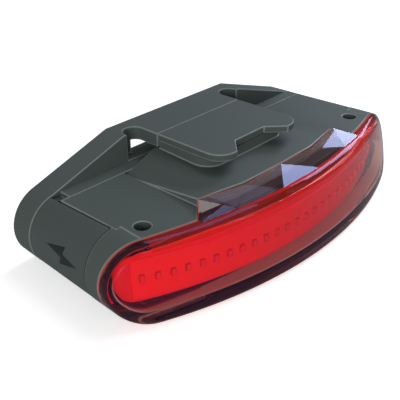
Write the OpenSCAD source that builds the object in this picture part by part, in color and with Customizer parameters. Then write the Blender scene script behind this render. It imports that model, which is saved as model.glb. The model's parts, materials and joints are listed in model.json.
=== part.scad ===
// Bicycle rear light with a clip-on bridge, a wrap-around lens, a charge port under a
// hinged rubber cover on the left end and a push button in the rubber cover on the right end.
// Millimetres. The lens faces -Y, +Z is up and the origin is the middle of the underside's box.

/* [Body] */
// Height of the rounded body between its flat faces
body_h = 15.4; // [15:0.1:17]
// Distance from the middle to the axis of each round end, at the middle of the depth
end_axis_x = 36.2; // [35.8:0.1:39]
// Angle by which each round end closes in towards the back
end_taper = 3.2; // [1:0.1:4]
// Depth from the foremost edge of the lens to the back face
overall_d = 43; // [42.4:0.1:46]
// Thickness of the front shell's walls
wall = 1.6; // [1.4:0.1:1.8]
// Depth of the rear band, from the back face
band_d = 5.8; // [5.4:0.1:6.4]
// Depth of the strip between the rear band and the lid
strip_d = 3.4; // [3:0.1:4]
// Length of the rubber end covers along the depth
cover_d = 17.6; // [17.2:0.1:18.4]
// Distance from the middle to the lid's side edges
lid_edge_x = 37; // [36.8:0.1:37.6]
// Gap at visible seams between fixed pieces
seam = 0.12; // [0.08:0.02:0.2]

/* [Lens] */
// Depth of the front shell's ring at the middle, from the end covers to the lens border
ring_d = 12.2; // [11.8:0.1:12.8]
// Radius of the lens border, seen from above
border_r = 123; // [110:1:150]
// Radius of the lens front, seen from above
front_r = 97; // [90:1:110]
// Angle by which the lens front leans back towards the top
front_lean = 13; // [9:0.5:15]
// Thickness of the lens
lens_wall = 2; // [1.6:0.1:2.2]
// Half width of the raised lens tongue at its border
tongue_half_w = 21.6; // [20:0.1:23]
// How far the tongue reaches back over the shell at the middle
tongue_d = 3.5; // [3:0.1:5]
// Height of the tongue's border above the flat top
tongue_rise = 1.6; // [0.4:0.1:2]
// Width of the seal cord's section behind the lens
lens_seal_w = 0.7; // [0.5:0.05:0.9]

/* [Clip] */
// Height of the clip plate's top above the flat top
plate_rise = 5.9; // [5.4:0.1:6.6]
// Width of the clip plate
plate_w = 25.4; // [22:0.2:27]
// Thickness of the clip plate
plate_t = 1.5; // [1.2:0.1:1.8]
// How far the clip plate reaches in front of its neck
plate_hook = 3.7; // [3:0.1:4.4]
// Radius of the clip plate's front corners
plate_corner_r = 4; // [2:0.1:4.4]
// Width of the notch in the clip plate's front edge, at its floor
notch_w = 9; // [6:0.2:10]
// Length of the neck and plate, from the bridge deck to the neck's front
neck_d = 13.9; // [13:0.1:14.6]
// How far the neck's sides stand in from the plate's
neck_inset = 0.3; // [0.1:0.1:0.8]
// Width of the raised pad at the foot of the neck
pad_w = 43; // [41:0.2:45]

/* [Bridge] */
// Width of the flat top of the bridge
bridge_w = 35.8; // [35.2:0.2:40]
// Thickness of the bridge deck
deck_t = 3; // [2.4:0.1:3.2]
// Width of each strap slot
slot_w = 4.4; // [4.3:0.1:4.8]
// Depth of the strap slots into the rear band
slot_d = 2.7; // [2.2:0.1:3]
// Height of the window in the back under the deck
window_h = 3.7; // [1:0.1:3.8]
// Width of the window in the back
window_w = 28; // [26:0.2:32]
// Thickness of the back wall
back_wall = 1.8; // [1.4:0.1:2]

/* [End covers] */
// Thickness of the rubber end covers
cover_t = 1.6; // [1.5:0.05:1.7]
// Gap between the covers and their neighbours
cover_gap = 0.2; // [0.15:0.05:0.25]
// Angle of the cover's hinge below the middle of the round end
hinge_angle = 59; // [56:1:62]
// Radius of the hinge bead on the charge cover
bead_r = 1; // [0.8:0.05:1]
// Radius of the hinge trunnions
trunnion_r = 0.5; // [0.4:0.05:0.5]
// Length of the hinge trunnions
trunnion_l = 1.3; // [1:0.1:1.6]
// Radial play of the hinge trunnions
trunnion_play = 0.05; // [0.03:0.01:0.08]
// Room round the bead for the cover to swing
swing_room = 0.7; // [0.65:0.05:0.8]
// Depth of the charge mark in the cover
mark_depth = 0.3; // [0.2:0.05:0.4]
// Depth of the shallow plug inside the charge cover
plug_d = 0.5; // [0.3:0.05:0.6]

/* [Charge port] */
// Width of the pocket that a plug's grip enters
pocket_w = 13; // [12.6:0.1:13.4]
// Height of the pocket
pocket_h = 7.2; // [6.8:0.1:7.4]
// Depth of the wall between the pocket and the cavity
pocket_floor = 1.5; // [1.2:0.1:2]
// Width of the socket
socket_w = 8.94; // [8.8:0.02:9]
// Height of the socket
socket_h = 3.26; // [3.2:0.02:3.3]
// Length of the socket
socket_l = 7.3; // [6.9:0.1:7.8]

/* [Button] */
// Radius of the button's cap
cap_r = 3.8; // [3.2:0.1:4]
// How far the cap stands out of the end cover
cap_proud = 0.35; // [0.2:0.05:0.4]
// Travel of the button
button_travel = 0.8; // [0.5:0.1:0.9]
// Radius of the button's stem
stem_r = 1.4; // [1.2:0.05:1.5]
// Radial play of the button's stem in its guide
stem_play = 0.08; // [0.05:0.01:0.1]
// Radius of the switch plunger
plunger_r = 0.9; // [0.7:0.05:0.9]

/* [Inside] */
// Thickness of the tub's floor and roof walls
tub_wall = 1.1; // [0.9:0.1:1.2]
// Distance between the two screws in the top
top_screw_gap = 66; // [65:0.5:67]
// Diameter of the recess over each top screw
top_recess_d = 3.2; // [3:0.1:3.4]
// Distance between the two screws in the back
back_screw_gap = 46; // [44:0.5:50]
// Radius of the screw shanks
shank_r = 0.95; // [0.8:0.05:1]
// Battery length
battery_l = 34; // [30:0.5:36]
// Battery width
battery_w = 21; // [18:0.5:21.5]
// Battery thickness
battery_t = 5.2; // [4:0.1:5.4]
// Thickness of the circuit board
board_t = 1; // [0.8:0.1:1.2]
// Radius of the light strip's curve, seen from above
strip_r = 85; // [82:0.5:86]
// How far the tray's face stands in front of the lens border at the middle
strip_ahead = 1.6; // [1.2:0.1:1.7]
// Height of the light strip
strip_h = 8.2; // [7:0.1:8.4]
// Half the width that the light strip spans
strip_half_w = 38; // [37.4:0.2:38.2]
// Number of light chips
chip_count = 27; // [15:2:27]
// Spacing of the light chips
chip_pitch = 2.87; // [2.4:0.01:2.9]

/* [Hidden] */
$fn = 72;

// Colours
shell_grey = "#4a5452";
rubber_grey = "#434c4a";
lens_red = "#c22a1e";
strip_red = "#cb2410";
chip_red = "#8e1408";
ribbon_amber = "#b97b2e";
foil_grey = "#8f979c";
foam_black = "#2b2b2b";
lead_red = "#b5261c";
plunger_white = "#d8d6cf";
mark_black = "#151a19";
tray_red = "#a51f14";
dark_plastic = "#23282a";
board_green = "#2c5b3c";
steel = "#a9aeb0";

// A size past the whole part, the play of fixed fits and the bars' inner flats
far = 200;
// How far a cutting bar runs past what it cuts
overrun = 1;
fit = 0.1;
flat_in = 0.6;

// Levels and depths
r = body_h / 2;
top_z = body_h;
back_y = overall_d / 2;
front_y = -overall_d / 2;
band_y = back_y - band_d;
lid_y = band_y - strip_d;
ring_y = band_y - cover_d;
border_y = ring_y - ring_d;
plate_z = top_z + plate_rise;
deck_reach = 0.9;
deck_y = lid_y - deck_reach;
neck_y = deck_y - neck_d;
skin_r = r - cover_t;
core_r = skin_r - fit;
ring_in_r = r - wall;
cavity_r = core_r - tub_wall;
tub_back_t = 1.6;
cavity_y = band_y - tub_back_t;
mid_y = (ring_y + band_y) / 2;

// Port and button axis
port_y = mid_y;
pocket_x = -(end_axis_x - fit);
cavity_left = pocket_x + pocket_floor;
end_core_t = 2.6;
cavity_right = end_axis_x - end_core_t;
board_z = r - socket_h / 2;
board_room = 0.3;
board_half_d = 5.6;
board_left = cavity_left + board_room;
board_right = cavity_right - board_room;
board_front = port_y - board_half_d;
board_back = port_y + board_half_d;
flange_lip = 0.6;
flange_gap = 0.25;
flange_r = cap_r + flange_lip;
cap_x = end_x(port_y) + r + cap_proud;
flange_x = end_x(port_y) + sqrt(skin_r * skin_r - flange_r * flange_r) - flange_gap;
flange_t = 0.8;
button_room = 0.4;
button_pocket_x = flange_x - flange_t - button_travel - button_room;
switch_gap = 0.6;
switch_x = cavity_right - switch_gap;
switch_l = 3.2;
switch_half_w = 3;
plunger_out = 0.9;
plunger_in = 0.7;
plunger_play = 0.05;
plunger_tip_x = switch_x + plunger_out;

// Charge cover hinge, parallel to the round end's axis
skin_sink = 0.05;
hinge_arm = r - bead_r - skin_sink;
hinge_dx = -hinge_arm * cos(hinge_angle);
hinge_z = r - hinge_arm * sin(hinge_angle);

// Screws
top_screw_x = top_screw_gap / 2;
top_screw_back = 3.6;
top_screw_y = ring_y - top_screw_back;
back_screw_x = back_screw_gap / 2;
back_screw_rise = 2.5;
back_screw_z = r + back_screw_rise;
screw_boss_r = 2.6;
top_recess_depth = 3.2;
top_seat_z = top_z - top_recess_depth;
back_recess_depth = 2.7;
back_seat_y = back_y - back_recess_depth;
head_r = 1.45;
back_head_r = 1.8;
back_head_play = 0.2;
back_boss_r = 3;
head_t = 1.2;
head_slot_d = 0.6;
slot_l = 1.9;
slot_t = 0.44;
thread_play = 0.05;
top_tip_z = 4;
top_bore_z = 3;
back_tip_room = 0.6;
back_tip_y = cavity_y - 3.4;
boss_seat_t = 1.2;
tub_post_r = 2.4;
tub_post_l = 5;
board_screw_x = 24;
board_screw_in = 2;
board_screw_y = board_back - board_screw_in;
board_screw_r = 0.7;
board_screw_low_z = 1.8;
board_head_r = 1.4;
board_head_t = 0.8;
board_hole_r = 0.9;
board_post_r = 1.8;
board_bore_r = 0.75;
board_bore_z = 1.4;

// Light strip
strip_cy = border_y - strip_ahead + strip_r;
tray_t = 1.2;
strip_t = 0.6;
chip_w = 1;
chip_h = 1.4;
chip_t = 0.45;
strip_mid_z = r - 0.6;
chip_mid_z = r - 0.3;
strip_play = 0.03;
ribbon_x = 24.5;
ribbon_w = 4;
ribbon_t = 0.2;
ribbon_room = 0.2;
ribbon_lift = 0.05;
ribbon_foot = 2.4;

// Battery
pad_t = 0.8;
battery_back = 6;
pad_in = 2;
pad_edge = 0.4;
battery_y = port_y + battery_back - battery_w / 2;
battery_z = board_z + pad_t + fit;

// Distance from the middle to a round end's axis at depth y
function end_x(y) = end_axis_x - y * tan(end_taper);

// Depth of a point on the lens border arc
function border_at(x) = border_y + border_r - sqrt(border_r * border_r - x * x);

// Depth of a point on the lens front at height z
function front_at(x, z) =
    front_y + z * tan(front_lean) + (front_r - sqrt(front_r * front_r - x * x)) / cos(front_lean);

// Depth of the tray's face at a distance from the middle
function tray_at(x) = strip_cy - sqrt(strip_r * strip_r - x * x);

// Box between two corners
module block(low, high) {
    translate(low) cube(high - low);
}

// Round-ended bar of the body's section, between two depths
module bar(radius, y0, y1) {
    intersection() {
        union() {
            translate([0, 0, r - radius])
                linear_extrude(2 * radius)
                    polygon([[flat_in - end_x(-far), -far], [end_x(-far) - flat_in, -far],
                             [end_x(far) - flat_in, far], [flat_in - end_x(far), far]]);
            for (side = [-1, 1])
                translate([side * end_axis_x, 0, r])
                    rotate([90, 0, side * end_taper])
                        cylinder(r = radius, h = 2 * far, center = true);
        }
        block([-far, y0, -far], [far, y1, far]);
    }
}

// Cylinder along X, Y or Z from a point
module rod_x(at, radius, length) {
    translate(at) rotate([0, 90, 0]) cylinder(r = radius, h = length);
}
module rod_y(at, radius, length) {
    translate(at) rotate([-90, 0, 0]) cylinder(r = radius, h = length);
}
module rod_z(at, radius, length) {
    translate(at) cylinder(r = radius, h = length);
}

// Space behind the lens border
module behind_border(offset_y) {
    translate([0, border_y + border_r + offset_y, -far]) cylinder(r = border_r, h = 2 * far);
}

// Space behind the lens front, drawn in by a wall
module behind_front(inset) {
    translate([0, front_y + front_r / cos(front_lean), 0])
        rotate([-front_lean, 0, 0])
            cylinder(r = front_r - inset, h = 2 * far, center = true);
}

// Outline of the lens tongue from above: a zigzag border and slanted sides
tongue_x = tongue_half_w + tongue_d;
tongue_back = border_y + tongue_d;
tongue_tuck = 0.1;
side_step = 2.3;
half_step = 0.2;
border_points = [[-tongue_x, border_at(tongue_x) - tongue_tuck],
                 [-tongue_half_w, tongue_back + side_step],
                 [-tongue_half_w / 2, tongue_back + half_step],
                 [0, tongue_back],
                 [tongue_half_w / 2, tongue_back + half_step],
                 [tongue_half_w, tongue_back + side_step],
                 [tongue_x, border_at(tongue_x) - tongue_tuck]];
dip_rise = 0.7 * tongue_rise;
border_rise = [-tongue_tuck, tongue_rise, dip_rise, tongue_rise, dip_rise, tongue_rise, -tongue_tuck];
rim_side = 0.81;
rim_middle = 0.27;
rim_x = [-tongue_x, -rim_side * tongue_half_w, -rim_middle * tongue_half_w,
         rim_middle * tongue_half_w, rim_side * tongue_half_w, tongue_x];
rim_lift = tongue_rise / 4;
rim_out = 0.6;
rim_rise = [-tongue_tuck, rim_lift, rim_lift, rim_lift, rim_lift, -tongue_tuck];
module tongue_outline() {
    polygon(concat(border_points, [[tongue_x, -far], [-tongue_x, -far]]));
}

// Raised lens tongue with its cut facets
module tongue_facets(floor_z) {
    border_n = len(border_points);
    rim_n = len(rim_x);
    border_top = [for (i = [0 : border_n - 1])
        [border_points[i][0], border_points[i][1], top_z + border_rise[i]]];
    rim_top = [for (i = [0 : rim_n - 1])
        [rim_x[i], front_at(rim_x[i], top_z) - rim_out, top_z + rim_rise[i]]];
    top_points = concat(border_top, rim_top);
    count = border_n + rim_n;
    low_points = [for (p = top_points) [p[0], p[1], floor_z]];
    rim_at = border_n;
    towards_rim = [for (i = [0 : rim_n - 1]) [i, i + 1, rim_at + i]];
    towards_border = [for (i = [0 : rim_n - 2]) [rim_at + i, i + 1, rim_at + i + 1]];
    top_faces = concat(towards_rim, towards_border);
    low_faces = [for (face = top_faces) [face[2] + count, face[1] + count, face[0] + count]];
    ring = concat([for (i = [0 : border_n - 1]) i], [for (i = [rim_n - 1 : -1 : 0]) rim_at + i]);
    sides = [for (i = [0 : count - 1])
        [ring[i], ring[i] + count, ring[(i + 1) % count] + count, ring[(i + 1) % count]]];
    polyhedron(points = concat(top_points, low_points),
               faces = concat(top_faces, low_faces, sides));
}

// Curved upright band that follows the light strip
module curved_band(out_r, in_r, z0, z1, half_w) {
    intersection() {
        translate([0, strip_cy, z0])
            difference() {
                cylinder(r = out_r, h = z1 - z0);
                translate([0, 0, -1]) cylinder(r = in_r, h = z1 - z0 + 2);
            }
        block([-half_w, strip_cy - out_r - 1, z0 - 1], [half_w, strip_cy, z1 + 1]);
    }
}

// Clip plate and neck outlines, from above
module plate_outline(half_w, y_front, corner) {
    translate([-half_w, y_front + corner]) square([2 * half_w, deck_y - seam - y_front - corner]);
    translate([-half_w + corner, y_front]) square([2 * (half_w - corner), corner + 1]);
    for (side = [-1, 1])
        translate([side * (half_w - corner), y_front + corner]) circle(r = corner);
}
module clip_outline() {
    floor_y = neck_y - fit;
    reach = 2 * plate_hook;
    difference() {
        plate_outline(plate_w / 2, neck_y - plate_hook, plate_corner_r);
        polygon([[-notch_w / 2, floor_y], [notch_w / 2, floor_y],
                 [notch_w / 2 + reach, floor_y - reach], [-notch_w / 2 - reach, floor_y - reach]]);
    }
}

// Raised pad round the neck, sloping to both sides and to the front
pad_rise = 2.6;
pad_foot = 0.7;
pad_dish_d = 0.6;
module neck_pad() {
    ridge_z = top_z + pad_rise;
    fall = atan((pad_rise - tongue_rise) / (lid_y - tongue_back));
    intersection() {
        union() {
            translate([0, lid_y, 0])
                rotate([90, 0, 0])
                    linear_extrude(lid_y - border_y)
                        polygon([[-pad_w / 2, top_z - wall], [pad_w / 2, top_z - wall],
                                 [pad_w / 2, top_z - pad_foot], [plate_w / 2, ridge_z],
                                 [-plate_w / 2, ridge_z], [-pad_w / 2, top_z - pad_foot]]);
            difference() {
                block([-pad_w / 2, border_y, top_z - wall], [pad_w / 2, lid_y, ridge_z]);
                above_shoulder();
            }
        }
        translate([0, lid_y, ridge_z])
            rotate([fall, 0, 0])
                translate([-far, -far, -far]) cube([2 * far, 2 * far, far]);
    }
}

// Space above the pad's shoulder, which falls from the tongue's border to below the lid's flat
module above_shoulder() {
    length = lid_y - tongue_back - side_step;
    translate([-pad_w / 2 - 1, lid_y, top_z - pad_dish_d])
        rotate([-atan((pad_dish_d + tongue_rise) / length), 0, 0])
            translate([0, -2 * length, 0]) cube([pad_w + 2, 2 * length + 1, 2 * plate_rise]);
}
// Dish in the lid, where the shoulder lies below its flat
module pad_dish() {
    intersection() {
        above_shoulder();
        block([-pad_w / 2, -far, 0], [pad_w / 2, far, far]);
    }
}

// Part of the round end that a rubber cover takes up, left side
module cover_zone(gap) {
    edge = -lid_edge_x - gap;
    reach = 4 * r;
    translate([0, band_y - gap, 0])
        rotate([90, 0, 0])
            linear_extrude(cover_d - 2 * gap)
                polygon([[edge, reach], [edge, r], [edge - cover_t, r],
                         [hinge_x(mid_y), hinge_z],
                         [hinge_x(mid_y) - reach * cos(hinge_angle), hinge_z - reach * sin(hinge_angle)],
                         [-far, -reach], [-far, reach]]);
}
function hinge_x(y) = -end_x(y) + hinge_dx;

// Cylinder on the charge cover's hinge axis, between two depths
module on_hinge(radius, y0, y1) {
    intersection() {
        translate([hinge_x(0), 0, hinge_z])
            rotate([90, 0, -end_taper])
                cylinder(r = radius, h = 2 * far, center = true);
        block([-far, y0, -far], [far, y1, far]);
    }
}

// Rubber skin of a round end, left side
module cover_skin() {
    intersection() {
        cover_zone(cover_gap);
        difference() {
            bar(r - skin_sink, ring_y, band_y);
            bar(skin_r, ring_y - 1, band_y + 1);
        }
    }
}

// Front shell: the ring behind the lens, the lid and the clip plate on its neck
module front_shell() color(shell_grey)
    difference() {
        union() {
            intersection() {
                difference() {
                    bar(r, border_y - overrun, ring_y);
                    bar(ring_in_r, border_y - 2 * overrun, ring_y + overrun);
                }
                behind_border(seam);
            }
            difference() {
                block([-lid_edge_x, ring_y - 1, top_z - wall], [lid_edge_x, lid_y, top_z]);
                pad_dish();
            }
            intersection() {
                neck_pad();
                behind_border(seam);
            }
            translate([0, 0, top_z - 1])
                linear_extrude(plate_rise - plate_t + 1.01)
                    plate_outline(plate_w / 2 - neck_inset, neck_y, plate_corner_r);
            translate([0, 0, plate_z - plate_t]) linear_extrude(plate_t) clip_outline();
            for (side = [-1, 1])
                rod_z([side * top_screw_x, top_screw_y, top_seat_z - boss_seat_t], screw_boss_r,
                      top_z - top_seat_z + boss_seat_t - wall / 2);
        }
        translate([0, 0, tongue_floor_z - fit])
            linear_extrude(2 * plate_rise) tongue_cut();
        translate([0, 0, -1]) linear_extrude(1 + tongue_low_t + fit) tongue_cut();
        for (side = [-1, 1]) {
            rod_z([side * top_screw_x, top_screw_y, top_seat_z], top_recess_d / 2, body_h);
            rod_z([side * top_screw_x, top_screw_y, 0], shank_r + fit, body_h);
        }
        on_hinge(trunnion_r + trunnion_play, ring_y - trunnion_l - cover_gap, ring_y + 1);
    }
tongue_low_t = 0.9;
tongue_t = 0.8;
tongue_floor_z = top_z - tongue_t;
module tongue_cut() {
    intersection() {
        translate([0, seam]) tongue_outline();
        translate([-far, -far]) square([2 * far, far + neck_y - plate_hook]);
    }
}

// Rear tub: the sleeve behind the ring that holds the battery and the board
// Fingernail notch beside the charge cover
nail_w = 4.2;
nail_d = 2.6;
nail_t = 1;
post_z = r - cavity_r + 0.4;
web_t = 3.2;
web_h = 7.8;
module rear_tub() color(shell_grey)
    difference() {
        union() {
            difference() {
                bar(r, ring_y + seam, band_y);
                rubber_room();
                mirror([1, 0, 0]) rubber_room();
                block([-lid_edge_x - seam, ring_y - 1, top_z - wall - fit],
                      [lid_edge_x + seam, lid_y + seam, top_z + 1]);
                block([cavity_left, ring_y - 1, r - cavity_r], [cavity_right, cavity_y, r + cavity_r]);
            }
            for (side = [-1, 1]) {
                rod_z([side * top_screw_x, top_screw_y, post_z], screw_boss_r,
                      top_seat_z - boss_seat_t - fit - post_z);
                block([side * top_screw_x - web_t / 2, top_screw_y, post_z],
                      [side * top_screw_x + web_t / 2, ring_y + web_t, post_z + web_h]);
                rod_y([side * back_screw_x, cavity_y + fit - tub_post_l, back_screw_z],
                      tub_post_r, tub_post_l);
                rod_z([side * board_screw_x, board_screw_y, r - core_r], board_post_r,
                      board_z - board_t - r + core_r);
            }
        }
        block([-far, port_y - pocket_w / 2, r - pocket_h / 2],
              [pocket_x, port_y + pocket_w / 2, r + pocket_h / 2]);
        block([pocket_x - 1, port_y - socket_w / 2 - fit, r - socket_h / 2 - fit],
              [cavity_left + 1, port_y + socket_w / 2 + fit, r + socket_h / 2 + fit]);
        rod_x([button_pocket_x, port_y, r], flange_r + cover_gap, far);
        rod_x([cavity_right - 1, port_y, r], stem_r + stem_play, far);
        block([-lid_edge_x - nail_w / 2, band_y - nail_d, top_z - nail_t],
              [-lid_edge_x + nail_w / 2, band_y + 1, top_z + 1]);
        for (side = [-1, 1]) {
            rod_z([side * top_screw_x, top_screw_y, top_bore_z], shank_r + thread_play, body_h);
            rod_y([side * back_screw_x, back_tip_y - back_tip_room, back_screw_z],
                  shank_r + thread_play, far);
            rod_z([side * board_screw_x, board_screw_y, board_bore_z], board_bore_r, board_z);
        }
    }
module rubber_room() {
    intersection() {
        cover_zone(-seam);
        difference() {
            bar(r + 2, ring_y, band_y);
            bar(core_r, ring_y - 1, band_y + 1);
        }
    }
    on_hinge(bead_r + swing_room, ring_y - 1, band_y);
}

// Rear bridge: the back band, the two rising arms and the deck between them
under_deck = 0.6;
window_z = plate_z - deck_t - window_h;
sill_d = 2.4;
arm_foot = 0.5;
arm_in = 2;
module rear_bridge() color(shell_grey)
    difference() {
        union() {
            difference() {
                bar(r, band_y, back_y);
                bar(r - back_wall, band_y - 1, back_y - back_wall);
            }
            translate([0, back_y, 0])
                rotate([90, 0, 0]) linear_extrude(band_d) arm_outline();
            block([-plate_w / 2, deck_y, plate_z - deck_t], [plate_w / 2, band_y + 1, plate_z]);
            for (side = [-1, 1])
                rod_y([side * back_screw_x, band_y, back_screw_z], back_boss_r, band_d - back_wall / 2);
        }
        for (side = [-1, 1]) {
            slot_x = side * (plate_w / 2 + slot_w / 2);
            slot_end = band_y + slot_d - slot_w / 2;
            block([slot_x - slot_w / 2, band_y - 1, top_z],
                  [slot_x + slot_w / 2, slot_end, plate_z + 1]);
            rod_z([slot_x, slot_end, top_z], slot_w / 2, plate_rise + 1);
            rod_y([side * back_screw_x, band_y - 1, back_screw_z], shank_r + fit, far);
            rod_y([side * back_screw_x, back_seat_y, back_screw_z], back_head_r + back_head_play, far);
        }
        block([-plate_w / 2 - 1, band_y - 1, top_z],
              [plate_w / 2 + 1, band_y + slot_d - under_deck, plate_z - deck_t]);
        block([-window_w / 2, band_y, max(top_z, window_z)],
              [window_w / 2, back_y + 1, plate_z - deck_t]);
        block([-window_w / 2, back_y - sill_d, window_z],
              [window_w / 2, back_y + 1, plate_z - deck_t]);
        on_hinge(trunnion_r + trunnion_play, band_y - 1, band_y + trunnion_l + cover_gap);
    }
// Arms that leave the round ends as tangents and meet the bridge's top corners
module arm_outline() {
    corner = [bridge_w / 2, plate_z];
    centre = [end_x(band_y + band_d / 2), r];
    span = norm(centre - corner);
    bend = r - seam / 3;
    slope = atan2(centre[1] - corner[1], centre[0] - corner[0]) + asin(bend / span);
    run = sqrt(span * span - bend * bend);
    foot = corner + run * [cos(slope), sin(slope)];
    polygon([[-corner[0], corner[1]], corner, foot, centre + [0, 1], [centre[0] - arm_in, top_z - arm_foot],
             [arm_in - centre[0], top_z - arm_foot], [-centre[0], centre[1] + 1], [-foot[0], foot[1]]]);
}

// Seal between the ring and the tub's mouth
tub_seal_d = 0.9;
module tub_seal() color(dark_plastic)
    difference() {
        bar(core_r, ring_y - tub_seal_d, ring_y + seam);
        bar(cavity_r, ring_y - 2 * overrun, ring_y + overrun);
    }

// Lens: a wrap-around shell with a faceted tongue on top and a flat one below
module lens() color(lens_red, 0.6)
    difference() {
        intersection() {
            behind_front(0);
            union() {
                difference() {
                    bar(r, front_y - 1, ring_y);
                    behind_border(0);
                }
                tongue_facets(tongue_floor_z);
                linear_extrude(tongue_low_t)
                    intersection() {
                        tongue_outline();
                        translate([-far, front_y - 1]) square([2 * far, overall_d]);
                    }
            }
        }
        intersection() {
            bar(r - lens_wall, front_y - 2 * overrun, ring_y);
            behind_front(lens_wall);
        }
        lens_seal_room(lens_seal_play);
    }

// Seal cord in the lens's back edge
lens_seal_in = 0.9;
lens_seal_d = 0.4;
lens_seal_play = 0.02;
module lens_seal_room(room) {
    intersection() {
        difference() {
            bar(r - lens_seal_in + room, border_y - 2 * overrun, ring_y);
            bar(r - lens_seal_in - lens_seal_w - room, border_y - 3 * overrun, ring_y + overrun);
        }
        difference() {
            behind_border(-lens_seal_d - room);
            behind_border(0);
        }
    }
}
module lens_seal() color(dark_plastic) lens_seal_room(0);

// Tray that carries the light strip inside the ring
module light_tray() color(tray_red)
    difference() {
        intersection() {
            curved_band(strip_r, strip_r - tray_t, 0, body_h, far);
            bar(r - lens_wall - fit, front_y, ring_y);
        }
        block([ribbon_x - ribbon_w / 2 - ribbon_room, -far, board_z - ribbon_room],
              [ribbon_x + ribbon_w / 2 + ribbon_room, ring_y, board_z + ribbon_t + 2 * ribbon_room]);
        for (side = [-1, 1])
            rod_z([side * top_screw_x, top_screw_y, 0], screw_boss_r + fit, body_h);
    }

// Curved strip behind the lens and its light chips
module light_strip() color(strip_red)
    curved_band(strip_r + strip_t, strip_r + strip_play,
                strip_mid_z - strip_h / 2, strip_mid_z + strip_h / 2, strip_half_w);
module light_chips() color(chip_red)
    for (i = [0 : chip_count - 1])
        translate([0, strip_cy, 0])
            rotate([0, 0, (i - (chip_count - 1) / 2) * chip_pitch * 180 / (PI * strip_r)])
                translate([-chip_w / 2, -strip_r - strip_t - chip_t - strip_play, chip_mid_z - chip_h / 2])
                    cube([chip_w, chip_t, chip_h]);

// Flat lead from the board to the light strip
module light_ribbon() color(ribbon_amber)
    block([ribbon_x - ribbon_w / 2, tray_at(ribbon_x + ribbon_w / 2) + ribbon_lift, board_z + ribbon_lift],
          [ribbon_x + ribbon_w / 2, board_front + ribbon_foot, board_z + ribbon_lift + ribbon_t]);

// Circuit board and what is on it
module circuit_board() color(board_green)
    difference() {
        block([board_left, board_front, board_z - board_t], [board_right, board_back, board_z]);
        for (side = [-1, 1])
            rod_z([side * board_screw_x, board_screw_y, 0], board_hole_r, body_h);
    }
// Place on the board, length, width and height of each chip
board_parts = [[-24, -2.6, 4, 4, 0.9], [-20.2, 2.2, 1.6, 0.8, 0.7], [21, 1.6, 3, 3, 0.9],
               [29, -3.8, 2, 1.2, 0.8], [20, -2.6, 1.6, 0.8, 0.6], [-27.4, 3.4, 1.6, 0.8, 0.6]];
module board_chips() color(dark_plastic)
    for (p = board_parts)
        translate([p[0] - p[2] / 2, port_y + p[1] - p[3] / 2, board_z]) cube([p[2], p[3], p[4]]);
module board_screws() color(steel)
    for (side = [-1, 1]) {
        rod_z([side * board_screw_x, board_screw_y, board_z], board_head_r, board_head_t);
        rod_z([side * board_screw_x, board_screw_y, board_screw_low_z], board_screw_r,
              board_z - board_screw_low_z + fit);
    }
socket_t = 0.3;
socket_back_t = 0.9;
socket_tongue_w = 6.6;
socket_tongue_t = 0.7;
module charge_socket() color(steel)
    difference() {
        block([pocket_x + fit, port_y - socket_w / 2, board_z],
              [pocket_x + fit + socket_l, port_y + socket_w / 2, board_z + socket_h]);
        difference() {
            block([pocket_x - 1, port_y - socket_w / 2 + socket_t, board_z + socket_t],
                  [pocket_x + socket_l - socket_back_t, port_y + socket_w / 2 - socket_t,
                   board_z + socket_h - socket_t]);
            block([pocket_x + 1, port_y - socket_tongue_w / 2, r - socket_tongue_t / 2],
                  [pocket_x + socket_l, port_y + socket_tongue_w / 2, r + socket_tongue_t / 2]);
        }
    }

// Battery, the foam under it and its leads
module battery() color(foil_grey)
    block([-battery_l / 2, battery_y - battery_w / 2, battery_z],
          [battery_l / 2, battery_y + battery_w / 2, battery_z + battery_t]);
module battery_pad() color(foam_black)
    block([-battery_l / 2 + pad_in, board_front + pad_edge, board_z],
          [battery_l / 2 - pad_in, board_back - pad_edge, board_z + pad_t]);
lead_r = 0.5;
lead_gap = 1.6;
lead_rise = 1.4;
lead_out = 1.2;
lead_play = 0.02;
module battery_leads() color(lead_red)
    for (step = [0, lead_gap]) {
        lead_y = port_y + lead_r + step;
        lead_z = battery_z + lead_rise;
        lead_x = -battery_l / 2 - lead_out;
        rod_x([lead_x, lead_y, lead_z], lead_r, lead_out - lead_play);
        translate([lead_x, lead_y, lead_z]) sphere(r = lead_r);
        rod_z([lead_x, lead_y, board_z + lead_play], lead_r, lead_z - board_z - lead_play);
    }

// Screws
module top_screws() color(steel)
    for (side = [-1, 1])
        difference() {
            union() {
                rod_z([side * top_screw_x, top_screw_y, top_seat_z], head_r, head_t);
                rod_z([side * top_screw_x, top_screw_y, top_tip_z], shank_r, top_seat_z - top_tip_z + fit);
            }
            cross_slot([side * top_screw_x, top_screw_y, top_seat_z + head_t - head_slot_d]);
        }
module back_screws() color(steel)
    for (side = [-1, 1])
        difference() {
            union() {
                rod_y([side * back_screw_x, back_seat_y, back_screw_z], back_head_r, head_t);
                rod_y([side * back_screw_x, back_tip_y, back_screw_z], shank_r,
                      back_seat_y - back_tip_y + fit);
            }
            translate([side * back_screw_x, back_seat_y + head_t - head_slot_d, back_screw_z])
                rotate([-90, 0, 0]) cross_slot([0, 0, 0]);
        }
module cross_slot(at) {
    for (turn = [0, 90])
        translate(at) rotate([0, 0, turn])
            translate([-slot_l / 2, -slot_t / 2, 0]) cube([slot_l, slot_t, head_t]);
}

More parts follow.
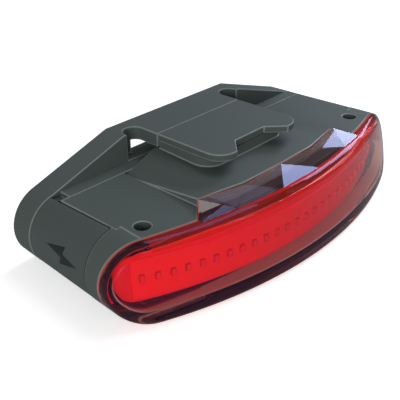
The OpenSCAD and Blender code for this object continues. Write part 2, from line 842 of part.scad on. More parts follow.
// Switch, its plunger and the button that presses it
module switch_body() color(dark_plastic)
    difference() {
        block([switch_x - switch_l, port_y - switch_half_w, board_z],
              [switch_x, port_y + switch_half_w, board_z + socket_h]);
        rod_x([switch_x - button_travel - plunger_in - fit, port_y, r], plunger_r + plunger_play, switch_l);
    }
module switch_plunger() color(plunger_white)
    rod_x([switch_x - plunger_in, port_y, r], plunger_r, plunger_tip_x - switch_x + plunger_in);
groove_r = 1.7;
groove_w = 0.35;
groove_d = 0.3;
module power_button() color(rubber_grey)
    difference() {
        union() {
            rod_x([plunger_tip_x, port_y, r], stem_r, flange_x - plunger_tip_x);
            rod_x([flange_x - flange_t, port_y, r], flange_r, flange_t);
            rod_x([flange_x - fit, port_y, r], cap_r, cap_x - flange_x + fit);
        }
        difference() {
            rod_x([cap_x - groove_d, port_y, r], groove_r, 1);
            rod_x([cap_x - 1, port_y, r], groove_r - groove_w, 2);
        }
    }
cap_play = 0.15;
module button_cover() color(rubber_grey)
    difference() {
        mirror([1, 0, 0]) cover_skin();
        rod_x([0, port_y, r], cap_r + cap_play, far);
    }

// Hinged charge cover with its bead, trunnions and shallow plug
plug_room = 0.9;
module charge_cover() color(rubber_grey)
    difference() {
        union() {
            cover_skin();
            on_hinge(bead_r, ring_y + cover_gap, band_y - cover_gap);
            on_hinge(trunnion_r, ring_y - trunnion_l, band_y + trunnion_l);
            intersection() {
                block([-far, port_y - pocket_w / 2 + plug_room, r - pocket_h / 2 + plug_room],
                      [pocket_x, port_y + pocket_w / 2 - plug_room, r + pocket_h / 2 - plug_room]);
                difference() {
                    bar(skin_r + fit, ring_y, band_y);
                    bar(skin_r - plug_d, ring_y - 1, band_y + 1);
                }
            }
        }
        mark_solid(mark_depth, 1);
    }
// Lightning bolt that marks the charge port, let into the cover
mark_l = 9.2;
mark_h = 3.6;
mark_forward = 1.6;
mark_play = 0.02;
mark_sink = 0.15;
module mark_solid(depth, proud) {
    half = [[-1, 1 / 3], [0.13, 1], [0.054, 0.22]];
    upper = [for (p = half) [p[0] * mark_l / 2, p[1] * mark_h / 2]];
    lower = [for (p = upper) [-p[0], -p[1]]];
    bolt = concat(upper, lower);
    tilt = 13;
    mark_y = port_y - mark_forward;
    intersection() {
        translate([-end_x(mark_y), mark_y, r])
            rotate([0, tilt, 0]) rotate([90, 0, -90]) linear_extrude(far) polygon(bolt);
        difference() {
            bar(r + proud, ring_y, band_y);
            bar(r - skin_sink - depth, ring_y - 1, band_y + 1);
        }
    }
}
module charge_mark() color(mark_black)
    mark_solid(mark_depth - mark_play, -mark_sink);

front_shell();
rear_tub();
rear_bridge();
tub_seal();
lens();
lens_seal();
light_tray();
light_strip();
light_chips();
light_ribbon();
circuit_board();
board_chips();
board_screws();
charge_socket();
battery();
battery_pad();
battery_leads();
top_screws();
back_screws();
switch_body();
switch_plunger();
power_button();
button_cover();
charge_cover();
charge_mark();
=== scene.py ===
# %% [markdown]
# # A bicycle rear light
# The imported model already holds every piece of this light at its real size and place. This lesson
# dresses it: the moulded shells get soft edges and a grain, the lens is rebuilt with a rounded rim and
# cut facets, and every piece gets a material that is named for what it is made of.
# The scene is in metres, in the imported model's own frame: the lens faces -Y and +Z is up. Sizes are
# written in millimetres and turned into metres where a mesh or a material takes them.

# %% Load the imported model
import json
import math

import bpy
from mathutils import Matrix, Vector


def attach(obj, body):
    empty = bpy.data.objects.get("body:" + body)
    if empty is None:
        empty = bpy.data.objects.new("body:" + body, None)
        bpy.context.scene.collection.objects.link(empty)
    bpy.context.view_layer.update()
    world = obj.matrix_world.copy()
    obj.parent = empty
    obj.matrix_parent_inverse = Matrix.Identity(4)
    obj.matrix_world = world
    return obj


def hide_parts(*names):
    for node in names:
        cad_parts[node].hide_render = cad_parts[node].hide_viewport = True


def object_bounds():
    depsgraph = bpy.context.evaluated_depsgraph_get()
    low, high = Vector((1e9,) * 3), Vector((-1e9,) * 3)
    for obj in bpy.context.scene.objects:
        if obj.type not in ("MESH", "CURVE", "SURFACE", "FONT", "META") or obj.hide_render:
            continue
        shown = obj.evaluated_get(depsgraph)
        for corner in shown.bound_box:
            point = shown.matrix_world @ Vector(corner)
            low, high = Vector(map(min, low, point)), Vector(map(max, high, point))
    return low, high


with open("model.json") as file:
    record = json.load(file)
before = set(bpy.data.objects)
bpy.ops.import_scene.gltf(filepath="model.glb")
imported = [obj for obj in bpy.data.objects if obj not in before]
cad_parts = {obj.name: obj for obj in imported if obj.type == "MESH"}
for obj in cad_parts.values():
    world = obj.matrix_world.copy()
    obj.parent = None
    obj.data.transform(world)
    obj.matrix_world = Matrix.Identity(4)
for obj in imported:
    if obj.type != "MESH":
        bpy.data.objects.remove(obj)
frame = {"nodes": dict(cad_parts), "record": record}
cad_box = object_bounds()
MM = 0.001
record_slots = {row["node"]: row["material_slot"] for row in frame["record"]["subparts"]}
print("nodes:", len(frame["nodes"]), "box:", [round(v / MM, 2) for corner in cad_box for v in corner])

# %% [markdown]
# ## The camera
# The photograph's camera was worked out from points that are mirrored on the object, such as the two
# screw holes. It stands to the left of the lens, looks down by about 29 degrees and leans a little.
# Building its matrix from three turns keeps each angle readable.

# %% Camera
CAMERA_AT = Vector((-104.83, -87.89, 81.4)) * MM
CAMERA_AZIMUTH = math.radians(-46.46)
CAMERA_ELEVATION = math.radians(29.27)
CAMERA_ROLL = math.radians(-0.947)

camera_data = bpy.data.cameras.new("camera")
camera_data.sensor_width = 36
camera_data.lens = 64.98
camera_data.clip_start = 0.005
camera = bpy.data.objects.new("camera", camera_data)
camera.matrix_world = (
    Matrix.Translation(CAMERA_AT)
    @ Matrix.Rotation(CAMERA_AZIMUTH, 4, "Z")
    @ Matrix.Rotation(math.pi / 2 - CAMERA_ELEVATION, 4, "X")
    @ Matrix.Rotation(CAMERA_ROLL, 4, "Z")
)
bpy.context.scene.collection.objects.link(camera)
bpy.context.scene.camera = camera
print("camera at", [round(v / MM, 1) for v in CAMERA_AT])

# %% [markdown]
# ## Helpers for materials
# Colours are written as sRGB hex values, the way a colour picker shows them, and one function turns them
# into the linear values that shaders use. A second function adds any node, sets what is given and links
# what comes from another node. A third makes noise whose spots have a real size in millimetres.


# %% Material helpers
def linear(code):
    parts = [int(code[i : i + 2], 16) / 255 for i in (1, 3, 5)]
    levels = [c / 12.92 if c <= 0.04045 else ((c + 0.055) / 1.055) ** 2.4 for c in parts]
    return (*levels, 1.0)


def add(tree, kind, inputs=None, **settings):
    made = tree.nodes.new(kind)
    for name, value in settings.items():
        setattr(made, name, value)
    for name, value in (inputs or {}).items():
        if isinstance(value, bpy.types.NodeSocket):
            tree.links.new(value, made.inputs[name])
        else:
            made.inputs[name].default_value = value
    return made


def new_material(name):
    material = bpy.data.materials.new(name)
    material.use_nodes = True
    material.node_tree.nodes.clear()
    return material


def noise(tree, spot_mm, detail):
    place = add(tree, "ShaderNodeTexCoord").outputs["Object"]
    settings = {"Vector": place, "Scale": 1 / (spot_mm * MM), "Detail": detail}
    return add(tree, "ShaderNodeTexNoise", settings).outputs["Fac"]


print("mid grey in linear:", [round(v, 3) for v in linear("#808080")])

# %% [markdown]
# ## The moulded shell
# The shells are injection-moulded ABS with a fine spark-eroded grain. The eye sees a matte dark grey
# with a little green in it, soft broad highlights and thin bright lines on every rounded edge.
# The grain is about a quarter of a millimetre wide, so a fine noise drives bump and roughness.
# A second, much wider noise lets the tone drift a little, as on any moulding.

# %% Moulded plastic and rubber
DRIFT_MM = 18.0


def grained_material(name, colour, drift, grain_mm, roughness, grain_height_mm):
    material = new_material(name)
    tree = material.node_tree
    grain = noise(tree, grain_mm, 3.0)
    cloud = noise(tree, DRIFT_MM, 2.0)
    tone = add(tree, "ShaderNodeMix", {"Factor": cloud}, data_type="RGBA")
    tone.inputs["A"].default_value = linear(colour)
    tone.inputs["B"].default_value = linear(drift)
    rough = add(
        tree,
        "ShaderNodeMapRange",
        {"Value": grain, "To Min": roughness - 0.05, "To Max": roughness + 0.07},
    )
    bump = add(
        tree,
        "ShaderNodeBump",
        {"Height": grain, "Distance": grain_height_mm * MM, "Strength": 0.6},
    )
    shader = add(
        tree,
        "ShaderNodeBsdfPrincipled",
        {
            "Base Color": tone.outputs["Result"],
            "Roughness": rough.outputs["Result"],
            "Normal": bump.outputs["Normal"],
            "IOR": 1.5,
        },
    )
    add(tree, "ShaderNodeOutputMaterial", {"Surface": shader.outputs["BSDF"]})
    return material


shell_abs = grained_material("moulded_abs_grey", "#4A5351", "#505A57", 0.25, 0.6, 0.012)
# Painted highlight: a lighter colour for the bevel faces of the shells, so that their edges look lit.
edge_highlight_abs = grained_material("abs_edge_painted_highlight", "#77817E", "#808A87", 0.25, 0.36, 0.004)
cover_rubber = grained_material("silicone_rubber_grey", "#454E4C", "#4A5351", 0.3, 0.55, 0.01)
seal_rubber = grained_material("seal_rubber_black", "#1B1D1E", "#202324", 0.4, 0.7, 0.01)
dark_plastic = grained_material("black_nylon", "#1E2223", "#24292A", 0.3, 0.5, 0.01)
mark_plastic = grained_material("printed_mark_black", "#121716", "#171C1B", 0.2, 0.5, 0.005)
print("grained materials:", [m.name for m in bpy.data.materials if m.use_nodes][-5:])

# %% [markdown]
# ## The red parts behind the lens
# Behind the lens stand a red tray and a brighter red strip, both satin acrylic. Both get a painted glow:
# an emission that stands in for light the lens keeps from reaching them. A Layer Weight node fades the
# painted glow where a face is seen from the side. The same function makes the plated steel of the screws.

# %% Satin red acrylic and steel
SATIN_RIPPLE_MM = 2.0
# Strength of the painted glow where a face is seen head on.
PAINTED_GLOW_GAIN = 1.35


def satin_material(name, colour, roughness, glow=0.0, coat=0.0, metallic=0.0):
    material = new_material(name)
    tree = material.node_tree
    ripple = noise(tree, SATIN_RIPPLE_MM, 2.0)
    rough = add(
        tree,
        "ShaderNodeMapRange",
        {"Value": ripple, "To Min": roughness - 0.04, "To Max": roughness + 0.04},
    )
    # Painted glow: an emission that stands in for light, fading where a face is seen from the side.
    if glow > 0:
        aside = add(tree, "ShaderNodeLayerWeight", {"Blend": 0.5}).outputs["Facing"]
        painted_glow_falloff = add(tree, "ShaderNodeMapRange", {"Value": aside, "To Min": PAINTED_GLOW_GAIN * glow, "To Max": 0.0})
        glow = painted_glow_falloff.outputs["Result"]
    shader = add(
        tree,
        "ShaderNodeBsdfPrincipled",
        {
            "Base Color": linear(colour),
            "Roughness": rough.outputs["Result"],
            "Emission Color": linear(colour),
            "Emission Strength": glow,
            "Coat Weight": coat,
            "Metallic": metallic,
        },
    )
    add(tree, "ShaderNodeOutputMaterial", {"Surface": shader.outputs["BSDF"]})
    return material


# Painted glow: a thin orange line along the lens's border, standing in for light carried along the edge.
painted_edge_line = satin_material("painted_edge_glow", "#C43A26", 0.3, glow=0.05)
# Painted glow: the strip, tray and chip frames glow by emission, standing in for light that doesn't reach
# them through the lens.
strip_acrylic = satin_material("satin_red_acrylic", "#DC200C", 0.4, glow=0.6)
tray_acrylic = satin_material("dull_red_acrylic", "#CE1E10", 0.45, glow=0.55)
chip_frame = satin_material("chip_frame_red", "#B61C0C", 0.4, glow=0.42)
plated_steel = satin_material("plated_steel", "#A9AEB0", 0.32, metallic=1.0)
print("satin materials:", painted_edge_line.name, strip_acrylic.name, tray_acrylic.name, chip_frame.name)

# %% [markdown]
# ## The clear lens
# The lens is polycarbonate with a light red tint, polished in the mould, so it is a Principled shader with
# full transmission. A little diffuse red stands for the haze in thick plastic. The rim looks into thick
# plastic and is redder, and the thin facets have hardly any tint.

# %% Clear polycarbonate
CLEAR_RIPPLE_MM = 3.0
LENS_ROUGHNESS = 0.02
LENS_IOR = 1.45
LENS_SHEEN = "#8F9DFF"


def clear_material(name, tint, haze, haze_share):
    material = new_material(name)
    tree = material.node_tree
    ripple = noise(tree, CLEAR_RIPPLE_MM, 1.0)
    rough = add(
        tree,
        "ShaderNodeMapRange",
        {"Value": ripple, "To Min": 0.5 * LENS_ROUGHNESS, "To Max": 1.5 * LENS_ROUGHNESS},
    )
    shader = add(
        tree,
        "ShaderNodeBsdfPrincipled",
        {
            "Base Color": linear(tint),
            "Roughness": rough.outputs["Result"],
            "IOR": LENS_IOR,
            "Transmission Weight": 1.0,
            "Specular IOR Level": 0.25,
            "Specular Tint": linear(LENS_SHEEN),
        },
    )
    inside = add(tree, "ShaderNodeBsdfDiffuse", {"Color": linear(haze)})
    layers = {"Fac": haze_share, 1: shader.outputs["BSDF"], 2: inside.outputs["BSDF"]}
    both = add(tree, "ShaderNodeMixShader", layers)
    add(tree, "ShaderNodeOutputMaterial", {"Surface": both.outputs["Shader"]})
    return material


lens_polycarbonate = clear_material("tinted_polycarbonate", "#FFC4BA", "#D81A0C", 0.02)
lens_facet = clear_material("thin_polycarbonate", "#EDE6E8", "#D81A0C", 0.0)
lens_rim = clear_material("thick_polycarbonate", "#FF9C8C", "#E0301C", 0.3)
print("clear materials:", lens_polycarbonate.name, lens_facet.name, lens_rim.name)

# %% [markdown]
# ## Pieces inside
# The board, battery, foam and leads are hidden in normal use, but they are real pieces, so each one
# gets a plain finish of its own.

# %% Inner materials
board_resin = satin_material("solder_resist_green", "#2C5B3C", 0.35, coat=0.3)
ribbon_film = satin_material("polyimide_film", "#B97B2E", 0.3)
battery_foil = satin_material("laminated_foil", "#8F979C", 0.35, metallic=0.6)
pad_foam = grained_material("foam_black", "#262626", "#2E2E2E", 0.6, 0.85, 0.08)
lead_insulation = satin_material("lead_insulation_red", "#B5261C", 0.4)
plunger_nylon = satin_material("plunger_nylon_white", "#D8D6CF", 0.4)

FINISHES = {
    "shell_plastic": shell_abs,
    "cover_rubber": cover_rubber,
    "seal_rubber": seal_rubber,
    "red_lens": lens_polycarbonate,
    "strip_red": strip_acrylic,
    "tray_red": tray_acrylic,
    "chip_red": chip_frame,
    "dark_plastic": dark_plastic,
    "ribbon_film": ribbon_film,
    "board_green": board_resin,
    "screw_steel": plated_steel,
    "battery_foil": battery_foil,
    "pad_foam": pad_foam,
    "lead_red": lead_insulation,
    "plunger_white": plunger_nylon,
    "mark_black": mark_plastic,
}
for name, node_object in frame["nodes"].items():
    node_object.data.materials.clear()
    node_object.data.materials.append(FINISHES[record_slots[name]])
print("finishes:", len(FINISHES))

# %% [markdown]
# ## Soft edges on the mouldings
# A moulded edge is never a knife edge, and its small radius is what catches the light. A copy of the
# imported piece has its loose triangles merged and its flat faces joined. Then every sharp edge is
# bevelled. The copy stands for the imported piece, which stays hidden for the simulation.

# %% Softened copies
MERGE_MM = 0.002
FLAT_DEG = 0.4
SHARP_DEG = 26


def start_copy(node):
    bpy.ops.object.select_all(action="DESELECT")
    piece = bpy.data.objects.new(node + "_finished", frame["nodes"][node].data.copy())
    bpy.context.scene.collection.objects.link(piece)
    bpy.context.view_layer.objects.active = piece
    piece.select_set(True)
    bpy.ops.mesh.customdata_custom_splitnormals_clear()
    bpy.ops.object.mode_set(mode="EDIT")
    bpy.ops.mesh.select_all(action="SELECT")
    bpy.ops.mesh.remove_doubles(threshold=MERGE_MM * MM)
    bpy.ops.mesh.dissolve_limited(angle_limit=math.radians(FLAT_DEG))
    return piece


def soften(width_mm, edge_slot):
    bpy.ops.mesh.select_all(action="DESELECT")
    bpy.ops.mesh.select_mode(type="EDGE")
    bpy.ops.mesh.edges_select_sharp(sharpness=math.radians(SHARP_DEG))
    bpy.ops.mesh.bevel(
        offset=width_mm * MM, segments=2, profile=0.5, clamp_overlap=False, material=edge_slot
    )
    bpy.ops.object.mode_set(mode="OBJECT")


def pull_back(piece, node_object, reach_mm):
    stray = piece.vertex_groups.new(name="stray")
    for vertex in piece.data.vertices:
        spot = node_object.closest_point_on_mesh(vertex.co)[1]
        if (spot - vertex.co).length > reach_mm * MM:
            stray.add([vertex.index], 1.0, "REPLACE")
    pull = piece.modifiers.new("pull_back", "SHRINKWRAP")
    pull.target = node_object
    pull.vertex_group = stray.name
    bpy.ops.object.modifier_apply(modifier=pull.name)


def end_piece(piece, body, slot, *nodes, smooth_deg=32, level_flats=True):
    bpy.ops.object.mode_set(mode="OBJECT")
    bpy.ops.object.shade_smooth_by_angle(angle=math.radians(smooth_deg))
    if level_flats:
        level = piece.modifiers.new("level_flats", "WEIGHTED_NORMAL")
        level.keep_sharp = True
        bpy.ops.object.modifier_apply(modifier=level.name)
    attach(piece, body)
    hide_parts(*nodes)
    print(piece.name, "faces:", len(piece.data.polygons))


# %% [markdown]
# A bevel on a round moulding can throw a corner far out, so every point that strays more than half the
# bevel's width is pulled back to the imported surface. The shells' bevels get a lighter, glossier colour,
# a painted highlight along every edge.

# %% Edge radii
bodies_of = {
    node: body for body, nodes in frame["record"]["behaviour"]["bodies"].items() for node in nodes
}
EDGE_RADIUS = {
    "front_shell": 0.22,
    "rear_tub": 0.18,
    "rear_bridge": 0.22,
    "charge_cover": 0.2,
    "button_cover": 0.2,
    "power_button": 0.25,
    "charge_mark": 0.04,
    "top_screws": 0.08,
    "back_screws": 0.1,
    "charge_socket": 0.06,
    "light_tray": 0.15,
    "light_strip": 0.15,
}
for node, width in EDGE_RADIUS.items():
    piece = start_copy(node)
    # The shells' bevel faces get the painted highlight colour.
    if record_slots[node] == "shell_plastic":
        piece.data.materials.append(edge_highlight_abs)
    soften(width, len(piece.data.materials) - 1)
    pull_back(piece, frame["nodes"][node], 0.5 * width)
    end_piece(piece, bodies_of[node], record_slots[node], node)

# %% [markdown]
# ## The lens
# The lens is one clear moulding: a cup with round ends that follows the body's outline, a rounded front
# rim, and a tongue on top that is cut into flat triangular facets. Its section changes all the way
# round, so it is laid up as rings of points, the way a loft is: each ring follows the body's outline at
# one distance in from it. Flat facets are fans of triangles between the tongue's border and the rim.

# %% Lens sizes
BODY_R = 7.7
END_AXIS = 36.2
END_TAPER = math.tan(math.radians(3.2))
BORDER_Y = -14.1
BORDER_R = 123
FRONT_Y = -21.5
FRONT_R = 97
LEAN = math.radians(13)
LENS_WALL = 2.0
RIM_R = 1.7
INNER_RIM_R = 0.6
TONGUE_HALF = 21.6
TONGUE_REACH = 3.5
TONGUE_RISE = 1.6
TONGUE_X = TONGUE_HALF + TONGUE_REACH
TONGUE_BACK = BORDER_Y + TONGUE_REACH
TONGUE_T = 0.8
EDGE_W = 0.3


def end_axis(y):
    return END_AXIS - y * END_TAPER


def border_at(x):
    return BORDER_Y + BORDER_R - math.sqrt(BORDER_R**2 - x**2)


def front_at(x, z):
    return FRONT_Y + z * math.tan(LEAN) + (FRONT_R - math.sqrt(FRONT_R**2 - x**2)) / math.cos(LEAN)


def depth_at(x, z):
    return border_at(x) - front_at(x, z)


print("lens depth in the middle:", round(depth_at(0, BODY_R), 2))

# %% [markdown]
# The facet corners are the only points listed one by one: a border line at the back of the tongue and a
# rim line at its front. Both are given as x, then depth or height. Between corners the lines run straight.

# %% Facet corners
SIDE_STEP = 2.3
HALF_STEP = 0.2
DIP = 0.5
RIM_SIDE = 0.81 * TONGUE_HALF
RIM_MIDDLE = 0.27 * TONGUE_HALF
RIM_LIFT = 0.4

BORDER_CORNERS = [
    (-TONGUE_X, border_at(TONGUE_X), 0.0),
    (-TONGUE_HALF, TONGUE_BACK + SIDE_STEP, TONGUE_RISE),
    (-TONGUE_HALF / 2, TONGUE_BACK + HALF_STEP, TONGUE_RISE - DIP),
    (0.0, TONGUE_BACK, TONGUE_RISE),
    (TONGUE_HALF / 2, TONGUE_BACK + HALF_STEP, TONGUE_RISE - DIP),
    (TONGUE_HALF, TONGUE_BACK + SIDE_STEP, TONGUE_RISE),
    (TONGUE_X, border_at(TONGUE_X), 0.0),
]
RIM_CORNERS = [
    (-TONGUE_X, 0.0),
    (-RIM_SIDE, RIM_LIFT),
    (-RIM_MIDDLE, RIM_LIFT),
    (RIM_MIDDLE, RIM_LIFT),
    (RIM_SIDE, RIM_LIFT),
    (TONGUE_X, 0.0),
]


def along(corners, x, item):
    for low, high in zip(corners, corners[1:]):
        if low[0] <= x <= high[0]:
            share = (x - low[0]) / (high[0] - low[0])
            return low[item] + share * (high[item] - low[item])
    return None


FLAT_HALF = 36
FLAT_STEPS = 48
NOSE_STEPS = 24

corner_x = {round(corner[0], 4) for corner in BORDER_CORNERS + RIM_CORNERS}
even_x = {round(FLAT_HALF * (2 * i / FLAT_STEPS - 1), 4) for i in range(FLAT_STEPS + 1)}
flat_x = sorted(corner_x | even_x)
nose_angles = [math.radians(90 - 180 * i / NOSE_STEPS) for i in range(NOSE_STEPS + 1)]
columns = [("flat", x, 1) for x in flat_x]
columns += [("nose", a, 1) for a in nose_angles]
columns += [("flat", x, -1) for x in reversed(flat_x)]
columns += [("nose", a, -1) for a in reversed(nose_angles)]
print("columns round the lens:", len(columns))

# %% [markdown]
# A column is one place on the outline. A ring asks each column for a point, given how far out from the
# middle line it lies and how deep. On the round ends the end axis shifts with depth, so the point is
# found in a few passes.

# %% Points on the outline
PASSES = 5


def outline_point(column, out, depth):
    kind, at, side = column
    if kind == "flat":
        z = BODY_R + side * out
        return Vector((at, depth(at, z), z))
    z = BODY_R + out * math.sin(at)
    y = BORDER_Y
    for _ in range(PASSES):
        x = side * (end_axis(y) + out * math.cos(at))
        y = depth(x, z)
    return Vector((x, y, z))


def in_tongue(column):
    return column[0] == "flat" and abs(column[1]) <= TONGUE_X


def lift_at(column):
    if in_tongue(column) and column[2] > 0:
        return along(RIM_CORNERS, column[1], 1)
    return 0.0


left_tip = outline_point(("nose", 0.0, -1), BODY_R, front_at)
print("left tip of the lens:", [round(v, 2) for v in left_tip])

# %% [markdown]
# The outer rings run from the middle of the front out to the rim and round it. The lens gets shallow at
# its ends, so there the rim takes only a share of the depth. The last ring runs straight between the facet
# corners, because a facet is flat only if its three sides are straight.

# %% Outer rings
RIM_SHARE = 0.7


def rim_depth(x, z):
    return min(RIM_R, RIM_SHARE * depth_at(x, z))


def outer_ring(angle):
    inset = RIM_R * (1 - math.cos(angle))

    def ring(column):
        out = BODY_R + lift_at(column) - inset
        rule = lambda x, z: front_at(x, z) + rim_depth(x, z) * (1 - math.sin(angle))
        return outline_point(column, out, rule)

    return ring


def facet_rim_ring(column):
    curved = outer_ring(0.0)
    if not (in_tongue(column) and column[2] > 0):
        return curved(column)
    ends = [(corner[0], curved(("flat", corner[0], 1)).y) for corner in RIM_CORNERS]
    place = curved(column)
    return Vector((place.x, along(ends, column[1], 1), place.z))


def front_ring(share):
    def ring(column):
        out = (BODY_R + lift_at(column) - RIM_R) * (1 - share)
        return outline_point(column, out, front_at)

    return ring


print("rim depth in the middle:", round(rim_depth(0, BODY_R), 2))

# %% [markdown]
# Behind the rim come a thin strip along the border, the border itself, the tongue's underside and the
# inside of the cup, whose wall follows the outer rings at one distance.

# %% Border and inner rings
WALL_SHARE = 0.55
INNER_RIM_SHARE = 0.2


def wall_depth(x, z):
    return min(LENS_WALL, WALL_SHARE * depth_at(x, z))


def border_ring(column):
    if in_tongue(column):
        x, side = column[1], column[2]
        rise = along(BORDER_CORNERS, x, 2) if side > 0 else 0.0
        return Vector((x, along(BORDER_CORNERS, x, 1), BODY_R + side * (BODY_R + rise)))
    return outline_point(column, BODY_R, lambda x, z: border_at(x))


def edge_ring(column):
    if in_tongue(column):
        return border_ring(column) - Vector((0, EDGE_W / 2, 0))
    return outline_point(column, BODY_R, lambda x, z: border_at(x) - EDGE_W)


def tongue_edge_ring(column):
    if in_tongue(column):
        x, side = column[1], column[2]
        return Vector((x, along(BORDER_CORNERS, x, 1), BODY_R + side * (BODY_R - TONGUE_T)))
    return tongue_root_ring(column)


def tongue_root_ring(column):
    return outline_point(column, BODY_R - TONGUE_T, lambda x, z: border_at(x))


def inner_border_ring(column):
    return outline_point(column, BODY_R - LENS_WALL, lambda x, z: border_at(x))


def inner_ring(angle):
    out = BODY_R - LENS_WALL - INNER_RIM_R * (1 - math.cos(angle))

    def depth(x, z):
        rounding = min(INNER_RIM_R, INNER_RIM_SHARE * depth_at(x, z))
        return front_at(x, z) + wall_depth(x, z) + rounding * (1 - math.sin(angle))

    return lambda column: outline_point(column, out, depth)


def inner_front_ring(share):
    out = (BODY_R - LENS_WALL - INNER_RIM_R) * (1 - share)
    rule = lambda x, z: front_at(x, z) + wall_depth(x, z)
    return lambda column: outline_point(column, out, rule)


print("wall in the middle:", round(wall_depth(0, BODY_R), 2))

# %% [markdown]
# All rings are now put in order, from the middle of the front, over the rim and the border, to the middle
# of the inside. The place of the gap between rim and border is kept, because the facets go there.

# %% Rings in order
RIM_STEPS = 8
FRONT_STEPS = 8
INNER_STEPS = 4
rings = [front_ring(1 - i / FRONT_STEPS) for i in range(FRONT_STEPS)]
rings += [outer_ring(math.pi / 2 * (1 - i / RIM_STEPS)) for i in range(RIM_STEPS)]
rings += [facet_rim_ring]
RIM_START = FRONT_STEPS
facet_gap = len(rings)
rings += [edge_ring, border_ring, tongue_edge_ring, tongue_root_ring, inner_border_ring]
rings += [inner_ring(math.pi / 2 * i / INNER_STEPS) for i in range(INNER_STEPS + 1)]
rings += [inner_front_ring((i + 1) / FRONT_STEPS) for i in range(FRONT_STEPS)]
print("rings:", len(rings))

# %% [markdown]
# Neighbouring rings are joined with four-sided faces, apart from the gap where the facets go. Each face
# also gets a material slot: the thin strip along the border, painted as a glowing orange line that stands
# in for light carried along the edge, the rim on the top side, or the plain lens.

# %% Lens faces
PLAIN_SLOT, EDGE_SLOT, RIM_SLOT, FACET_SLOT = range(4)
count = len(columns)
points = [ring(column) * MM for ring in rings for column in columns]
faces = []
face_slots = []
for k in range(len(rings) - 1):
    for c in range(count):
        d = (c + 1) % count
        tongue_top = in_tongue(columns[c]) and in_tongue(columns[d]) and columns[c][2] > 0
        if k == facet_gap - 1 and tongue_top:
            continue
        faces.append((k * count + c, k * count + d, (k + 1) * count + d, (k + 1) * count + c))
        top = columns[c][0] == "flat" and columns[c][2] > 0
        if k == facet_gap:
            face_slots.append(EDGE_SLOT)
        elif top and RIM_START <= k < facet_gap:
            face_slots.append(RIM_SLOT)
        else:
            face_slots.append(PLAIN_SLOT)
plain_faces = len(faces)
print("faces between rings:", plain_faces)

# %% [markdown]
# Between the rim and the tongue's border the faces are fans of triangles. One set of fans has its tips on
# the rim corners and the other set on the border corners, and together they make the cut facets.

# %% Facet fans
top_column = {x: c for c, x in enumerate(flat_x)}
rim_row, border_row = (facet_gap - 1) * count, facet_gap * count
border_x = [round(corner[0], 4) for corner in BORDER_CORNERS]
rim_x = [round(corner[0], 4) for corner in RIM_CORNERS]


def between(low, high):
    inside = [x for x in flat_x if low <= x <= high]
    return [(top_column[a], top_column[b]) for a, b in zip(inside, inside[1:])]


for i, apex in enumerate(rim_x):
    for a, b in between(border_x[i], border_x[i + 1]):
        faces.append((border_row + a, rim_row + top_column[apex], border_row + b))
for i, (low, high) in enumerate(zip(rim_x, rim_x[1:])):
    for a, b in between(low, high):
        faces.append((rim_row + a, rim_row + b, border_row + top_column[border_x[i + 1]]))
face_slots += [FACET_SLOT] * (len(faces) - plain_faces)
print("facet triangles:", len(faces) - plain_faces)

# %% [markdown]
# The mesh is made from the points and faces, doubled points at the ends are merged, and the normals are
# turned outward. The facets stay flat shaded and the rest is smooth, so a mark on each face remembers
# which is which.

# %% Lens mesh
LENS_MERGE_MM = 0.004
lens_mesh = bpy.data.meshes.new("lens_finished")
lens_mesh.from_pydata(points, [], faces)
lens_mesh.polygons.foreach_set("material_index", face_slots)
is_facet = [index >= plain_faces for index in range(len(faces))]
lens_mesh.attributes.new("facet", "BOOLEAN", "FACE").data.foreach_set("value", is_facet)
lens = bpy.data.objects.new("lens_finished", lens_mesh)
bpy.context.scene.collection.objects.link(lens)
# The second slot is the painted orange glow along the border.
for material in (lens_polycarbonate, painted_edge_line, lens_rim, lens_facet):
    lens_mesh.materials.append(material)
bpy.ops.object.select_all(action="DESELECT")
bpy.context.view_layer.objects.active = lens
lens.select_set(True)
bpy.ops.object.mode_set(mode="EDIT")
bpy.ops.mesh.select_all(action="SELECT")
bpy.ops.mesh.remove_doubles(threshold=LENS_MERGE_MM * MM)
bpy.ops.mesh.dissolve_degenerate(threshold=LENS_MERGE_MM * MM)
bpy.ops.mesh.normals_make_consistent(inside=False)
end_piece(lens, "light_body", "red_lens", "lens", smooth_deg=40, level_flats=False)
flat_marks = lens_mesh.attributes["facet"].data
for face, mark in zip(lens_mesh.polygons, flat_marks):
    if mark.value:
        face.use_smooth = False
print("flat facet triangles:", sum(mark.value for mark in flat_marks))

# %% [markdown]
# ## The light chips
# Behind the lens a row of small chips shows as thin dark frames. Each front face is inset, and the inset
# gets the strip's own red, so that only a frame is left of the darker colour.

# %% Light chips
CHIP_FRAME_MM = 0.16
FACES_FRONT = -0.8
chips = start_copy("light_chips")
chips.data.materials.append(strip_acrylic)
bpy.ops.object.mode_set(mode="OBJECT")
for face in chips.data.polygons:
    face.select = face.normal.y < FACES_FRONT
bpy.ops.object.mode_set(mode="EDIT")
bpy.ops.mesh.select_mode(type="FACE")
bpy.ops.mesh.inset(thickness=CHIP_FRAME_MM * MM, use_individual=True)
chips.active_material_index = 1
bpy.ops.object.material_slot_assign()
end_piece(chips, "light_body", "chip_red", "light_chips")

# %% [markdown]
# ## Stage and light
# The light stands on a pale floor. A Light Path node makes the floor white to the camera and paler in
# mirror images, which gives the lens its veil on the right. For every other ray the floor is a plain grey,
# so that it doesn't wash out the dark shell. It still takes the shadow.

# %% Floor
FLOOR_SIZE = 6
FLOOR_GAP_MM = 0.05
MIRROR_SHARE = 0.22
CAMERA_LIFT = 0.55

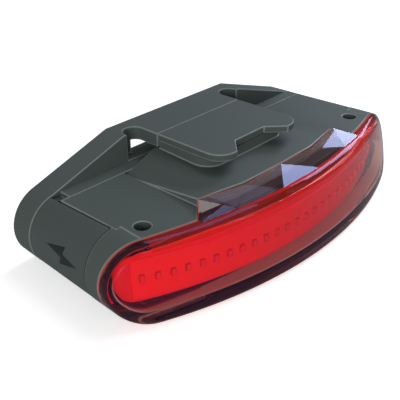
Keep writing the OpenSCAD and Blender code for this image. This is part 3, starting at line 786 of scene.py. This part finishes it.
bpy.ops.object.select_all(action="DESELECT")
bpy.ops.mesh.primitive_plane_add(size=FLOOR_SIZE, location=(0, 0, cad_box[0].z - FLOOR_GAP_MM * MM))
floor = bpy.context.object
floor.name = "floor"
floor_paint = new_material("pale_floor_paint")
tree = floor_paint.node_tree
path = add(tree, "ShaderNodeLightPath").outputs
share = add(
    tree,
    "ShaderNodeMath",
    {0: path["Is Glossy Ray"], 1: MIRROR_SHARE, 2: path["Is Camera Ray"]},
    operation="MULTIPLY_ADD",
)
seen = share.outputs["Value"]
tone = add(tree, "ShaderNodeMix", {"Factor": seen}, data_type="RGBA")
tone.inputs["A"].default_value = linear("#8A8A8A")
tone.inputs["B"].default_value = linear("#FBFBFB")
paint = add(tree, "ShaderNodeBsdfDiffuse", {"Color": tone.outputs["Result"]})
lift = add(tree, "ShaderNodeMath", {0: seen, 1: CAMERA_LIFT}, operation="MULTIPLY")
glow = add(tree, "ShaderNodeEmission", {"Color": (1, 1, 1, 1), "Strength": lift.outputs["Value"]})
both = add(tree, "ShaderNodeAddShader", {0: paint.outputs["BSDF"], 1: glow.outputs["Emission"]})
add(tree, "ShaderNodeOutputMaterial", {"Surface": both.outputs["Shader"]})
floor.data.materials.append(floor_paint)
print("floor at z", round(floor.location.z / MM, 3), "mm")

# %% [markdown]
# The world gives a weak even light from all sides. The camera sees it as white, for views that reach past
# the floor's edge.

# %% World
AMBIENT = 0.26
world = bpy.data.worlds.new("studio")
bpy.context.scene.world = world
world.use_nodes = True
tree = world.node_tree
tree.nodes.clear()
seen = add(tree, "ShaderNodeLightPath").outputs["Is Camera Ray"]
level = add(tree, "ShaderNodeMapRange", {"Value": seen, "To Min": AMBIENT, "To Max": 1.0})
sky = add(tree, "ShaderNodeBackground", {"Color": (1, 1, 1, 1), "Strength": level.outputs["Result"]})
add(tree, "ShaderNodeOutputWorld", {"Surface": sky.outputs["Background"]})
print("ambient light:", AMBIENT)

# %% [markdown]
# A wide key lamp overhead draws the streak along the lens rim. Two lamps on the right stand where the
# facets mirror them, so some facets turn bright and their neighbours stay dark. A fill lifts the left end
# and isn't mirrored, so that no hard patch lies on the front of the lens.


# %% Lamps
def softbox(name, towards, distance, size, watts, colour, mirrored=True):
    lamp = bpy.data.lights.new(name, "AREA")
    lamp.shape = "RECTANGLE"
    lamp.size, lamp.size_y = size
    lamp.energy = watts
    lamp.color = linear(colour)[:3]
    holder = bpy.data.objects.new(name, lamp)
    direction = Vector(towards).normalized()
    holder.location = direction * distance
    holder.rotation_euler = direction.to_track_quat("Z", "Y").to_euler()
    holder.visible_glossy = mirrored
    bpy.context.scene.collection.objects.link(holder)


softbox("key_softbox", (0.4, -0.05, 0.91), 0.7, (0.36, 0.28), 0.9, "#FFFFFF")
softbox("right_softbox", (0.822, 0.084, 0.563), 0.4, (0.147, 0.144), 0.56, "#DCE9FF")
softbox("small_softbox", (0.6, 0.403, 0.691), 0.4, (0.082, 0.02), 0.005, "#FFFFFF")
softbox("fill_softbox", (-0.8, -0.5, 0.2), 0.6, (0.4, 0.3), 2.3, "#FFFFFF", mirrored=False)
bpy.context.scene.view_settings.view_transform = "Standard"
